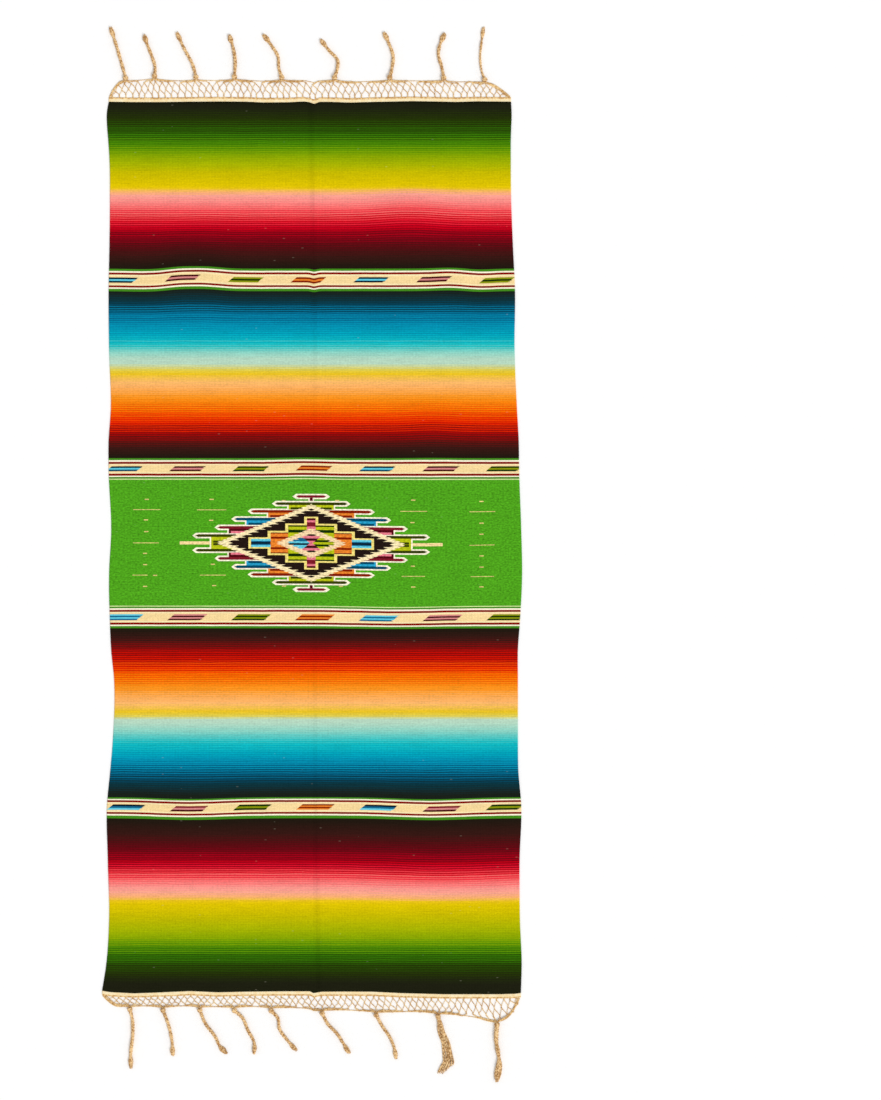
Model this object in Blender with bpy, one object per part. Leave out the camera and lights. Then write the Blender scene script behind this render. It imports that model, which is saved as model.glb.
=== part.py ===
"""A Mexican serape laid flat with its face up.

The serape is one tapestry-woven blanket. At each end a narrow undyed heading closes the weaving, the warp
ends are knotted into an even net, and the net is gathered into nine twisted tassels. Sizes are in
millimetres: X runs across the blanket, Y along it, and Z up from the surface that it lies on. The origin is
on that surface, under the middle of the blanket and its fringe.
"""

import math

import bmesh
import bpy
import numpy as np
from mathutils import Vector

MM = 0.001

# Driving dimensions
TOP_END = 1080
BOTTOM_END = -1043
CLOTH_WALL = 2.0
HEADING_WALL = 1.7
HEADING_DEPTH = 11.0
NET_WALL = 1.7
SEAM_GAP = 0.3
FLOOR_GAP = 0.3
KNOT_RADIUS = 6.5
KNOT_HEIGHT = 11.0
KNOT_SEAT = 0.1
CORD_WIDTH = 9.0
CORD_TWIST = 58.0
TIP_TAPER = 0.45
TIP_FLARE = 0.35
TUFT_START = 0.74
CORD_STATIONS = 14
LOCK_WIDTH = 5.0
LOCK_SPREAD = 1.6
LOCK_LAYER = 4.6
LOCK_STATIONS = 9
CLOTH_COLUMNS = 25
CLOTH_ROWS = 53
NET_STEP = 4.0

# The two selvages, at stations along the length: the loom never beats a hand-woven edge quite straight.
# along, left, right
SELVAGES = [
    (-1050, -503, 499),
    (-982, -492, 501),
    (-875, -485, 497),
    (-731, -488, 495),
    (-588, -485, 497),
    (-516, -480, 492),
    (-445, -476, 492),
    (-301, -473, 492),
    (-229, -480, 492),
    (-158, -483, 497),
    (-50, -485, 502),
    (57, -480, 500),
    (201, -485, 495),
    (344, -480, 490),
    (488, -485, 483),
    (631, -488, 485),
    (739, -485, 478),
    (846, -483, 473),
    (989, -488, 473),
    (1090, -483, 474),
]

# How far the woven end departs from a straight line, at places across the width. The storage fold leaves
# a small notch in the top end, and a small step in the bottom end.
# across, outward
TOP_END_WAVE = [(-483, 0), (-240, -1), (-6, 0), (5, -5), (15, 0), (240, 1), (474, 0)]
BOTTOM_END_WAVE = [(-501, 0), (-240, -1), (-3, -1), (3, 4), (20, 0), (240, 2), (400, 5), (499, 5)]

# Where the cloth rises off the surface in soft ripples. The turn is in degrees, from X towards Y.
# across, along, half length, half width, turn, height
RIPPLES = [
    (-292, 655, 150, 80, 4, 5.0),
    (236, 815, 130, 85, 28, 4.5),
    (287, 292, 120, 95, 40, 4.5),
    (-300, 20, 150, 80, -12, 3.0),
    (-405, -350, 130, 75, 78, 4.5),
    (-285, -610, 140, 80, -8, 4.0),
    (285, -602, 140, 85, 10, 4.0),
    (150, -790, 150, 75, -10, 4.5),
    (380, -60, 130, 80, 70, 3.5),
]

# The outer line of each knotted net, as its reach beyond the heading.
# across, reach
TOP_NET = [
    (-484, 3),
    (-475, 20),
    (-462, 36),
    (-440, 41),
    (-290, 42),
    (-115, 43),
    (50, 42),
    (190, 41),
    (320, 40),
    (400, 37),
    (437, 29),
    (458, 15),
    (473, 3),
]
BOTTOM_NET = [
    (-500, 3),
    (-488, 15),
    (-474, 25),
    (-440, 27),
    (-350, 30),
    (-186, 30),
    (-98, 31),
    (24, 37),
    (153, 41),
    (301, 42),
    (390, 52),
    (442, 60),
    (475, 42),
    (496, 4),
]

# Each tassel's cord, from the knot at the net's outer line to its tip, as it lies.
# knot across, cord width against the usual, places along the cord
TOP_TASSELS = [
    (-445, 1.0, [(-451, 1159), (-460, 1190), (-468, 1217), (-482, 1260)]),
    (-376, 1.0, [(-375, 1164), (-382, 1188), (-396, 1224), (-402, 1242)]),
    (-277, 1.0, [(-284, 1166), (-306, 1209), (-324, 1248)]),
    (-185, 1.0, [(-184, 1185), (-189, 1212), (-198, 1242)]),
    (-72, 1.0, [(-79, 1160), (-81, 1188), (-98, 1217), (-117, 1243)]),
    (54, 1.0, [(61, 1162), (62, 1177), (41, 1203), (19, 1231)]),
    (186, 1.0, [(191, 1160), (194, 1188), (182, 1224), (171, 1248)]),
    (315, 1.0, [(310, 1164), (302, 1195), (308, 1224), (318, 1246)]),
    (413, 0.7, [(406, 1152), (402, 1181), (406, 1231), (410, 1261.5)]),
]
BOTTOM_TASSELS = [
    (-435, 1.0, [(-429, -1112), (-428, -1145), (-433, -1195), (-433, -1229)]),
    (-356, 1.0, [(-344, -1121), (-335, -1159), (-332, -1200)]),
    (-268, 1.0, [(-256, -1119), (-229, -1157), (-220, -1177), (-203, -1194)]),
    (-186, 1.0, [(-166, -1108), (-153, -1138), (-138, -1168), (-139, -1195)]),
    (-98, 1.0, [(-81, -1110), (-78, -1133), (-60, -1160), (-36, -1187)]),
    (24, 1.0, [(38, -1123), (60, -1146), (76, -1171), (91, -1194)]),
    (153, 1.0, [(167, -1126), (188, -1158), (196, -1178), (201, -1207)]),
    (442, 1.3, [(440, -1157), (447, -1212), (441, -1261)]),
]
# One tassel of the bottom end has come untwisted, and its locks lie in a fan.
LOOSE_KNOT = 301
LOOSE_BEND_ALONG = -1188
# across at the bend, tip across, tip along, layer at the knot (0 lower, 1 upper)
LOOSE_LOCKS = [
    (313, 299, -1238, 0),
    (319, 307, -1242, 1),
    (325, 318, -1239, 0),
    (331, 331, -1231, 1),
    (337, 342, -1220, 0),
]

# Plain colours for the solids: linear red, green and blue
CLOTH_DYE = (0.62, 0.19, 0.03)
COTTON = (0.72, 0.60, 0.42)
WOOL_ROUGHNESS = 0.9


def clear_scene():
    """Removes what the startup scene holds."""
    for obj in list(bpy.data.objects):
        bpy.data.objects.remove(obj, do_unlink=True)


def smooth_between(places, values, at):
    """Reads a smooth curve through the given points at one place or at many."""
    places = np.asarray(places, float)
    values = np.asarray(values, float)
    slopes = np.gradient(values, places)
    at = np.clip(at, places[0], places[-1])
    i = np.clip(np.searchsorted(places, at) - 1, 0, len(places) - 2)
    span = places[i + 1] - places[i]
    t = (at - places[i]) / span
    start = values[i] * (1 + 2 * t) + slopes[i] * span * t
    end = values[i + 1] * (3 - 2 * t) + slopes[i + 1] * span * (t - 1)
    return start * (1 - t) ** 2 + end * t**2


def column(rows, index):
    """One column of a table."""
    return [row[index] for row in rows]


def read_smooth(rows, index, at):
    """One column of a table, read smoothly at a place in its first column."""
    return smooth_between(column(rows, 0), column(rows, index), at)


def top_end(across):
    """The woven top end's distance along, at a place across."""
    return TOP_END + np.interp(across, column(TOP_END_WAVE, 0), column(TOP_END_WAVE, 1))


def bottom_end(across):
    """The woven bottom end's distance along, at a place across."""
    return BOTTOM_END - np.interp(across, column(BOTTOM_END_WAVE, 0), column(BOTTOM_END_WAVE, 1))


def ripple_height(x, y):
    """How far the cloth's underside stands off the surface at a place."""
    height = 0.0
    for across, along, half_length, half_width, turn, rise in RIPPLES:
        angle = math.radians(turn)
        dx = x - across
        dy = y - along
        u = (dx * math.cos(angle) + dy * math.sin(angle)) / half_length
        v = (dy * math.cos(angle) - dx * math.sin(angle)) / half_width
        inside = 1 - u * u - v * v
        if inside > 0:
            height += rise * inside**2
    return height


def new_material(name, colour):
    """A plain woollen or cotton finish."""
    material = bpy.data.materials.new(name)
    material.use_nodes = True
    shader = material.node_tree.nodes["Principled BSDF"]
    shader.inputs["Base Color"].default_value = (*colour, 1)
    shader.inputs["Roughness"].default_value = WOOL_ROUGHNESS
    shader.inputs["Metallic"].default_value = 0
    return material


def new_object(name, bm, colour):
    """Makes a scene object of a mesh in millimetres."""
    bmesh.ops.scale(bm, vec=(MM, MM, MM), verts=bm.verts)
    bmesh.ops.recalc_face_normals(bm, faces=bm.faces)
    mesh = bpy.data.meshes.new(name)
    bm.to_mesh(mesh)
    bm.free()
    mesh.materials.append(new_material(name, colour))
    obj = bpy.data.objects.new(name, mesh)
    bpy.context.scene.collection.objects.link(obj)
    return obj


def sheet(name, lines, underside, wall, colour):
    """A closed wall of cloth on a grid. lines is a list of rows of (x, y), and underside gives the height."""
    bm = bmesh.new()
    layers = []
    for rise in (0.0, wall):
        layers.append([[bm.verts.new((x, y, underside(x, y) + rise)) for x, y in line] for line in lines])
    low, high = layers
    rows = len(lines)
    columns = len(lines[0])
    for r in range(rows - 1):
        for c in range(columns - 1):
            for grid in (low, high):
                bm.faces.new((grid[r][c], grid[r][c + 1], grid[r + 1][c + 1], grid[r + 1][c]))
    rim = [(0, c) for c in range(columns)]
    rim += [(r, columns - 1) for r in range(1, rows)]
    rim += [(rows - 1, c) for c in range(columns - 2, -1, -1)]
    rim += [(r, 0) for r in range(rows - 2, 0, -1)]
    for (r0, c0), (r1, c1) in zip(rim, rim[1:] + rim[:1]):
        bm.faces.new((low[r0][c0], low[r1][c1], high[r1][c1], high[r0][c0]))
    return new_object(name, bm, colour)


def cloth_columns(along):
    """Places across the cloth at one station, closer together where the storage fold is."""
    left = read_smooth(SELVAGES, 1, along)
    right = read_smooth(SELVAGES, 2, along)
    steps = set(np.linspace(0, 1, CLOTH_COLUMNS))
    fold = [0.502, 0.512, 0.522, 0.533]
    steps = sorted([s for s in steps if min(abs(s - f) for f in fold) > 0.012] + fold)
    return [left + (right - left) * step for step in steps]


def make_cloth():
    """The woven body, as one wall with soft ripples."""
    lines = []
    for v in np.linspace(0, 1, CLOTH_ROWS):
        along = BOTTOM_END + (TOP_END - BOTTOM_END) * v
        line = []
        for x in cloth_columns(along):
            low = bottom_end(x)
            line.append((x, low + (top_end(x) - low) * v))
        lines.append(line)
    return sheet("cloth", lines, ripple_height, CLOTH_WALL, CLOTH_DYE)


def flat(x, y):
    """The underside of what lies flat."""
    return 0.0


def heading_line(end, side, reach):
    """A line of places that runs beside the woven end. side is 1 at the top end and -1 at the bottom."""
    along = TOP_END if side > 0 else BOTTOM_END
    return [(x, end(x) + side * reach) for x in cloth_columns(along)]


def make_heading(name, end, side):
    """The undyed strip that closes the weaving."""
    near = heading_line(end, side, SEAM_GAP)
    far = heading_line(end, side, SEAM_GAP + HEADING_DEPTH)
    return sheet(name, [near, far], flat, HEADING_WALL, COTTON)


def net_inner(end, side, x):
    """The net's inner line, just past the heading."""
    far = heading_line(end, side, SEAM_GAP + HEADING_DEPTH)
    return np.interp(x, column(far, 0), column(far, 1)) + side * SEAM_GAP


def net_outer(end, side, rows, x):
    """The net's outer line, where the tassels hang."""
    return net_inner(end, side, x) + side * read_smooth(rows, 1, x)


def make_net(name, end, side, rows):
    """The knotted net, as a plain strip of its outline. Its even mesh isn't cut through."""
    first, last = rows[0][0], rows[-1][0]
    beside = [x for x, y in heading_line(end, side, 0) if first < x < last]
    places = [first] + beside + [last]
    places += [x for x in column(rows, 0) if min(abs(x - place) for place in places) > NET_STEP]
    places.sort()
    near = [(x, net_inner(end, side, x)) for x in places]
    far = [(x, net_outer(end, side, rows, x)) for x in places]
    return sheet(name, [near, far], flat, NET_WALL, COTTON)


def knot_centre(end, side, rows, x):
    """Where a tassel's knot lies so that its round underside just clears the net's upper edge."""
    before, after = (net_outer(end, side, rows, x + step) for step in (-KNOT_RADIUS, KNOT_RADIUS))
    slope = (after - before) / (2 * KNOT_RADIUS)
    drop = (FLOOR_GAP + KNOT_HEIGHT / 2 - NET_WALL) / (KNOT_HEIGHT / 2 + KNOT_SEAT)
    away = (KNOT_RADIUS + KNOT_SEAT) * math.sqrt(1 - drop**2) * math.hypot(1, slope)
    return x, net_outer(end, side, rows, x) + side * away


def along_curve(points, stations):
    """Evenly spaced places on a smooth curve through the points."""
    points = np.array(points, float)
    steps = np.hypot(*np.diff(points, axis=0).T)
    reach = np.concatenate([[0], np.cumsum(steps)])
    at = np.linspace(0, reach[-1], stations)
    return [Vector((smooth_between(reach, points[:, 0], s), smooth_between(reach, points[:, 1], s), 0)) for s in at]


def add_strand(bm, centres, widths):
    """Adds a closed four-sided strand round a line of places."""
    rings = []
    for i, centre in enumerate(centres):
        before = centres[max(i - 1, 0)]
        after = centres[min(i + 1, len(centres) - 1)]
        ahead = (after - before).normalized()
        side = ahead.cross(Vector((0, 0, 1))).normalized()
        up = side.cross(ahead)
        radius = widths[i] / 2
        corners = (side, up, -side, -up)
        rings.append([bm.verts.new(centre + corner * radius) for corner in corners])
    for ring, after in zip(rings, rings[1:]):
        for k in range(4):
            bm.faces.new((ring[k], ring[(k + 1) % 4], after[(k + 1) % 4], after[k]))
    bm.faces.new(rings[0][::-1])
    bm.faces.new(rings[-1])


def cord_size(t, width):
    """A ply's width and its distance from the cord's middle line, at a share t of the way to the tip."""
    opened = min(1.0, max(0.0, (t - TUFT_START) / (0.9 - TUFT_START)))
    size = width * (1 + TIP_FLARE * opened)
    taper = 1 - TIP_TAPER * max(0.0, (t - 0.9) / 0.1)
    return 0.46 * size * taper, 0.27 * size


def twisted_strands(route, width):
    """Two plies that twist round each other, with a gap between them, and open a little at the tip."""
    bm = bmesh.new()
    places = along_curve(route, CORD_STATIONS)
    for phase in (0, math.pi):
        centres = []
        widths = []
        travelled = 0.0
        for i, place in enumerate(places):
            ply, orbit = cord_size(i / (CORD_STATIONS - 1), width)
            middle = FLOOR_GAP + orbit + ply / 2
            before = places[max(i - 1, 0)]
            after = places[min(i + 1, CORD_STATIONS - 1)]
            ahead = (after - before).normalized()
            side = ahead.cross(Vector((0, 0, 1)))
            travelled += (place - before).length
            turn = phase + 2 * math.pi * travelled / CORD_TWIST
            offset = side * (math.cos(turn) * orbit) + Vector((0, 0, middle + math.sin(turn) * orbit))
            centres.append(place + offset)
            widths.append(ply)
        add_strand(bm, centres, widths)
    return bm


def loose_strands(knot):
    """The untwisted tassel's locks, in two layers at the knot that settle side by side."""
    bm = bmesh.new()
    low = FLOOR_GAP + LOCK_WIDTH / 2
    middle = (len(LOOSE_LOCKS) - 1) / 2
    for order, (bend_x, tip_x, tip_y, layer) in enumerate(LOOSE_LOCKS):
        start_x = knot[0] + LOCK_SPREAD * (order - middle)
        route = [(start_x, knot[1]), (bend_x, LOOSE_BEND_ALONG), (tip_x, tip_y)]
        centres = []
        widths = []
        for i, place in enumerate(along_curve(route, LOCK_STATIONS)):
            t = i / (LOCK_STATIONS - 1)
            settled = max(0.0, 1 - t / 0.6)
            centres.append(place + Vector((0, 0, low + layer * LOCK_LAYER * settled)))
            widths.append(LOCK_WIDTH * (1 - TIP_TAPER * t))
        add_strand(bm, centres, widths)
    return bm


def make_tassel(name, knot, strands):
    """A tassel: its knot, which backs the strands, joined with them."""
    bm = bmesh.new()
    bmesh.ops.create_icosphere(bm, subdivisions=2, radius=KNOT_RADIUS)
    bmesh.ops.scale(bm, vec=(1, 1, KNOT_HEIGHT / (2 * KNOT_RADIUS)), verts=bm.verts)
    bmesh.ops.translate(bm, vec=(knot[0], knot[1], FLOOR_GAP + KNOT_HEIGHT / 2), verts=bm.verts)
    tassel = new_object(name, bm, COTTON)
    helper = new_object(name + "_strands", strands, COTTON)
    helper.hide_render = True
    helper.display_type = "WIRE"
    join = tassel.modifiers.new("strands", "BOOLEAN")
    join.operation = "UNION"
    join.object = helper
    join.use_self = True
    return tassel


def make_end(name, end, side, net_rows, tassels):
    """One end of the serape: heading, net and twisted tassels."""
    make_heading(f"heading_{name}", end, side)
    make_net(f"net_{name}", end, side, net_rows)
    for number, (across, width, places) in enumerate(tassels, 1):
        knot = knot_centre(end, side, net_rows, across)
        strands = twisted_strands([knot] + places, CORD_WIDTH * width)
        make_tassel(f"tassel_{name}_{number}", knot, strands)


def make_loose_tassel():
    """The bottom end's untwisted tassel."""
    knot = knot_centre(bottom_end, -1, BOTTOM_NET, LOOSE_KNOT)
    make_tassel("tassel_bottom_loose", knot, loose_strands(knot))


def main():
    clear_scene()
    make_cloth()
    make_end("top", top_end, 1, TOP_NET, TOP_TASSELS)
    make_end("bottom", bottom_end, -1, BOTTOM_NET, BOTTOM_TASSELS)
    make_loose_tassel()


main()
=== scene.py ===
# %% [markdown]
# # A Mexican serape laid flat, dressed for a photograph
#
# A serape is a blanket that is woven in one piece on a loom. Wool of many dyes hides the cotton warp, so what
# shows is the wool. The warp ends are knotted into a net at each end, and the net is gathered into tassels.
#
# This lesson dresses plain solids of that blanket. The solids give every place and size. Lengths in the
# tables are in millimetres: X runs across the blanket, Y along it, and Z up from the surface it lies on.
# Where a value is called side, it is 1 at the top end of the blanket and -1 at the bottom end.

# %% Load the frame
import math
from functools import partialmethod

import bmesh
import bpy
import numpy as np
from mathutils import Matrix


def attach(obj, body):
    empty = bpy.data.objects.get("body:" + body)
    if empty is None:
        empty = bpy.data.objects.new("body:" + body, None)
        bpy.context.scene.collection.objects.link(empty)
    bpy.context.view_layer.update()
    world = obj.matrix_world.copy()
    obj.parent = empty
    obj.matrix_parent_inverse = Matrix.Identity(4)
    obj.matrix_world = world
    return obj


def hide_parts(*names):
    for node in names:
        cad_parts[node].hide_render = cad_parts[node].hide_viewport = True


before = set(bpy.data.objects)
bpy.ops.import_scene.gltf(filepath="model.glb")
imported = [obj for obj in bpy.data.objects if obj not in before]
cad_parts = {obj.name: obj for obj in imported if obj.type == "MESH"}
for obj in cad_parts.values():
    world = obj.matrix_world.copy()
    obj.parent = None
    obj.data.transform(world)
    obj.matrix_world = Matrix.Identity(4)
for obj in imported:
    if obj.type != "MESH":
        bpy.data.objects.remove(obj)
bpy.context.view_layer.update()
MM = 0.001
TURN = 2 * math.pi
BODY = "root"
rng = np.random.default_rng(1926)
print("solids in the frame:", len(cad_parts))

# %% [markdown]
# ## The camera, the surface and the light
#
# The blanket was photographed from straight above, so the camera looks straight down. A long lens, high up,
# keeps the sides of the threads from showing. The light is a pale sky for softness, with one wide sun from
# the upper left, so that low ripples in the cloth still show.

# %% Camera
LENS = 85
SENSOR = 36
FRAME_HEIGHT = 2.629
CAMERA_PLACE = (0.307, 0.010)
CLOTH_TOP = 0.002


def add_object(name, data):
    """A new object in the scene, at the origin."""
    thing = bpy.data.objects.new(name, data)
    bpy.context.scene.collection.objects.link(thing)
    return thing


camera_data = bpy.data.cameras.new("camera_above")
camera_data.lens = LENS
camera_data.sensor_width = SENSOR
camera = add_object("camera_above", camera_data)
camera.location = (*CAMERA_PLACE, FRAME_HEIGHT * LENS / SENSOR + CLOTH_TOP)
bpy.context.scene.camera = camera
bpy.context.scene.view_settings.view_transform = "Standard"
print("camera height:", round(camera.location.z, 3))

# %% Light
SKY_STRENGTH = 0.66
SUN_STRENGTH = 1.54
SUN_SOFTNESS = 26
SUN_TURN = (math.radians(38), 0, math.radians(40))

sky = bpy.data.worlds.new("pale_sky")
sky.use_nodes = True
background = sky.node_tree.nodes["Background"]
background.inputs["Color"].default_value = (1, 1, 1, 1)
background.inputs["Strength"].default_value = SKY_STRENGTH
bpy.context.scene.world = sky
sun_data = bpy.data.lights.new("soft_sun", "SUN")
sun_data.energy = SUN_STRENGTH
sun_data.angle = math.radians(SUN_SOFTNESS)
add_object("soft_sun", sun_data).rotation_euler = SUN_TURN

# %% [markdown]
# ## Helpers for node trees
#
# Materials and Geometry Nodes are both trees of nodes. One helper adds a node and fills its inputs with
# values or links. The other stands for a node's output and takes plain arithmetic, so a formula reads as it
# would on paper and each sign becomes one Math node.


# %% Node helpers
class Value:
    """An output of a node. Signs and comparisons on it add Math nodes to its tree."""

    def __init__(self, graph, socket):
        self.graph = graph
        self.socket = socket

    def step(self, operation, *others):
        """One Math node."""
        return self.graph.out("ShaderNodeMath", self, *others, operation=operation)

    __add__ = partialmethod(step, "ADD")
    __sub__ = partialmethod(step, "SUBTRACT")
    __mul__ = partialmethod(step, "MULTIPLY")
    __truediv__ = partialmethod(step, "DIVIDE")
    __mod__ = partialmethod(step, "FLOORED_MODULO")
    __lt__ = partialmethod(step, "LESS_THAN")
    __gt__ = partialmethod(step, "GREATER_THAN")
    __abs__ = partialmethod(step, "ABSOLUTE")
    floor = partialmethod(step, "FLOOR")
    sine = partialmethod(step, "SINE")
    near = partialmethod(step, "COMPARE")


class Graph:
    """Adds nodes to one tree and links them as it goes."""

    def __init__(self, tree):
        self.tree = tree

    def feed(self, socket, value):
        """Gives an input a value, or links another node's output to it. None leaves it as it is."""
        if isinstance(value, Value):
            self.tree.links.new(value.socket, socket)
        elif value is not None:
            socket.default_value = value

    def node(self, kind, *values, inputs=None, **settings):
        """Adds a node. Values fill its inputs in order, and inputs fills them by name."""
        node = self.tree.nodes.new(kind)
        for name, value in settings.items():
            setattr(node, name, value)
        for socket, value in zip(node.inputs, values):
            self.feed(socket, value)
        for name, value in (inputs or {}).items():
            self.feed(node.inputs[name], value)
        return node

    def value(self, node, output=0):
        """One output of a node."""
        return Value(self, node.outputs[output])

    def out(self, kind, *values, **settings):
        """The first output of a new node."""
        return self.value(self.node(kind, *values, **settings))

    def vector(self, operation, *values):
        """One step of arithmetic on vectors."""
        return self.out("ShaderNodeVectorMath", *values, operation=operation)

    def scaled(self, vector, factor):
        """A vector or a colour, times a number."""
        return self.vector("SCALE", vector, None, None, factor)

    def share(self, value, *limits):
        """How far a value lies between two limits, or that on another scale."""
        return self.out("ShaderNodeMapRange", value, *limits)

    def mix(self, share, under, over):
        """Lays one colour over another."""
        node = self.node("ShaderNodeMix", share, data_type="RGBA")
        self.feed(node.inputs[6], under)
        self.feed(node.inputs[7], over)
        return self.value(node, 2)

    def noise(self, place, scale, detail=2):
        """Soft noise from 0 to 1. Its scale is one number, or one for each direction."""
        if isinstance(scale, tuple):
            place = self.vector("MULTIPLY", place, scale)
            scale = 1
        return self.out("ShaderNodeTexNoise", place, inputs={"Scale": scale, "Detail": detail})

    def ramp(self, share, stops, steps=False):
        """A line of colours. stops is a list of (share, colour)."""
        node = self.node("ShaderNodeValToRGB", share)
        node.color_ramp.interpolation = "CONSTANT" if steps else "LINEAR"
        elements = node.color_ramp.elements
        elements[0].position, elements[0].color = stops[0]
        elements[1].position, elements[1].color = stops[-1]
        for place, colour in stops[1:-1]:
            elements.new(place).color = colour
        return self.value(node)

    def bump(self, height, strength, distance):
        """A surface direction that follows a height."""
        inputs = {"Strength": strength, "Distance": distance, "Height": height}
        return self.out("ShaderNodeBump", inputs=inputs)


def new_tree(name, kind, inputs, outputs):
    """A tree of its own, with named inputs and outputs. given holds what comes in."""
    tree = bpy.data.node_groups.new(name, kind)
    for way, sockets in (("INPUT", inputs), ("OUTPUT", outputs)):
        for label, socket in sockets.items():
            tree.interface.new_socket(label, in_out=way, socket_type="NodeSocket" + socket)
    g = Graph(tree)
    start = g.node("NodeGroupInput")
    g.given = {label: g.value(start, label) for label in inputs}
    return g


# %% [markdown]
# ## The dyes
#
# The weaver has one cone of yarn for each dye. A dye is written here as it looks on a screen, and turned into
# the linear light that Blender mixes. Every pattern below names a dye, so a dye is changed in one place.

# %% Dyes
SCREEN_DYES = {
    "soot": (34, 25, 17), "peat": (56, 24, 20), "plum": (84, 13, 18), "wine": (116, 6, 20),
    "garnet": (156, 3, 24), "ruby": (204, 0, 22), "crimson": (230, 16, 44), "coral": (243, 70, 78),
    "rose": (249, 110, 108), "salmon": (252, 138, 134), "shell": (252, 166, 148),
    "peach": (251, 178, 108), "sunflower": (236, 198, 24), "gold": (226, 198, 3), "citron": (200, 188, 2),
    "lime": (167, 180, 3), "moss": (130, 164, 4), "leaf": (86, 143, 6), "grass": (54, 118, 6),
    "fir": (42, 88, 6), "bottle": (36, 52, 6), "tar": (30, 31, 17), "teal_black": (26, 33, 26),
    "deep_teal": (10, 54, 64), "navy": (3, 74, 102), "ocean": (5, 104, 140), "azure": (4, 130, 168),
    "cerulean": (4, 153, 182), "turquoise": (0, 173, 191), "lagoon": (22, 190, 194),
    "aqua": (84, 200, 195), "mint": (138, 212, 197), "ice": (184, 218, 195), "celery": (203, 216, 160),
    "lemon": (223, 206, 82), "apricot": (255, 186, 111), "tangerine": (252, 154, 37),
    "orange": (250, 128, 5), "flame": (242, 92, 4), "scarlet": (242, 56, 0), "brick": (206, 12, 2),
    "oxblood": (150, 8, 9), "maroon": (104, 17, 15), "field_green": (80, 165, 30),
    "band_green": (66, 138, 28), "band_red": (134, 12, 4), "band_cream": (250, 220, 158),
    "band_pale": (255, 236, 184), "band_white": (255, 246, 218), "pale_line": (214, 232, 160),
    "night": (10, 30, 46), "steel": (20, 104, 144), "sky": (98, 204, 226), "cyan": (40, 158, 200),
    "berry": (84, 8, 20), "rosewood": (126, 26, 40), "pink": (236, 124, 140),
    "dusk_pink": (218, 138, 134), "coal_red": (66, 4, 10), "moss_green": (138, 150, 14),
    "olive_dark": (54, 62, 8), "deep_green": (20, 48, 8), "olive": (112, 124, 14),
    "olive_bright": (186, 196, 24), "rust": (132, 28, 4), "amber": (236, 132, 44),
    "blush": (252, 220, 172), "straw": (246, 226, 128), "coal": (36, 24, 20),
    "float_cream": (230, 204, 128),
}


def linear(parts):
    """A screen colour, each part from 0 to 255, as linear light."""
    shares = [part / 255 for part in parts]
    return (*(s / 12.92 if s <= 0.04045 else ((s + 0.055) / 1.055) ** 2.4 for s in shares), 1.0)


DYES = {name: linear(parts) for name, parts in SCREEN_DYES.items()}
print("dyes:", len(DYES))

# %% [markdown]
# ## The shape of the cloth
#
# A loom never makes a true rectangle, so the two selvages and the two ends are read from short tables. The
# solid follows the same lines with fewer small bends. The weft lines bend too: where the weaver beat one
# side harder, a whole band rises or dips. Those bends are bumps in where a line lies, and not in the
# pattern, so every stripe and figure is drawn straight and the mesh bends it.

# %% Tables of the cloth
CLOTH_WALL = 2.0
# How far along each woven end lies
ENDS = {1: 1080, -1: -1043}
# along, left, right
SELVAGES = [
    (-1050, -503, 499), (-982, -492, 501), (-875, -485, 497), (-731, -488, 496), (-600, -490, 500),
    (-516, -482, 493), (-445, -476, 492), (-301, -473, 492), (-229, -480, 492), (-158, -483, 497),
    (-50, -485, 502), (57, -480, 500), (201, -486, 495), (270, -486, 494), (344, -481, 490),
    (488, -485, 484), (631, -486, 485), (739, -484, 480), (846, -483, 476), (940, -484, 475),
    (989, -487, 475), (1020, -489.5, 476), (1052, -490.5, 477), (1090, -484, 475),
]
# across, outward
TOP_END_WAVE = [
    (-483, 1), (-426, 0), (-359, 0), (-300, 1), (-225, 1.5), (-158, 1.2), (-120, -0.7), (-57, -0.3),
    (-20, 1.6), (-8, 0), (5, -4.5), (18, 0.5), (44, 0.5), (90, -1.2), (144, 0.5), (240, 2.4), (312, 1.2),
    (345, 0.5), (395, 1.9), (474, 1),
]
BOTTOM_END_WAVE = [
    (-501, 0), (-484, 3), (-426, 6), (-359, 3.5), (-292, 0.5), (-225, 3.5), (-158, 2), (-90, 1.2),
    (-5, 1), (3, 5.5), (22, 2), (77, 1.6), (144, 2), (211, 5.4), (312, 8), (446, 8), (485, 7), (499, 5),
]
END_WAVES = {1: TOP_END_WAVE, -1: BOTTOM_END_WAVE}
# across, along, half length, half width, turn in degrees, height
RIPPLES = [
    (-292, 655, 150, 80, 4, 5.0), (236, 815, 130, 85, 28, 4.5), (287, 292, 120, 95, 40, 4.5),
    (-300, 20, 150, 80, -12, 3.0), (-405, -350, 130, 75, 78, 4.5), (-285, -610, 140, 80, -8, 4.0),
    (285, -602, 140, 85, 10, 4.0), (150, -790, 150, 75, -10, 4.5), (380, -60, 130, 80, 70, 3.5),
]
# Where the weft lines bend: across, along, half width, half length, rise
WEFT_BENDS = [
    (-312, 665, 45, 90, 4.6), (-250, 665, 45, 90, 4.6), (5, 655, 9, 60, -3.0), (-400, 655, 60, 80, -1.5),
    (330, 660, 50, 70, 2.5), (400, 660, 40, 60, -2.5), (234, 815, 90, 70, 6.0), (287, 300, 60, 60, 3.0),
    (250, 25, 190, 110, -4.5), (-292, -600, 110, 70, -4.5), (282, -600, 120, 70, -5.0),
    (310, -765, 150, 70, -6.0), (-20, 204, 60, 40, 2.0), (200, -140, 120, 50, -3.0),
]


# %% Reading the tables
def columns_of(rows):
    """The columns of a table, as arrays."""
    return [np.array(values, float) for values in zip(*rows)]


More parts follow.
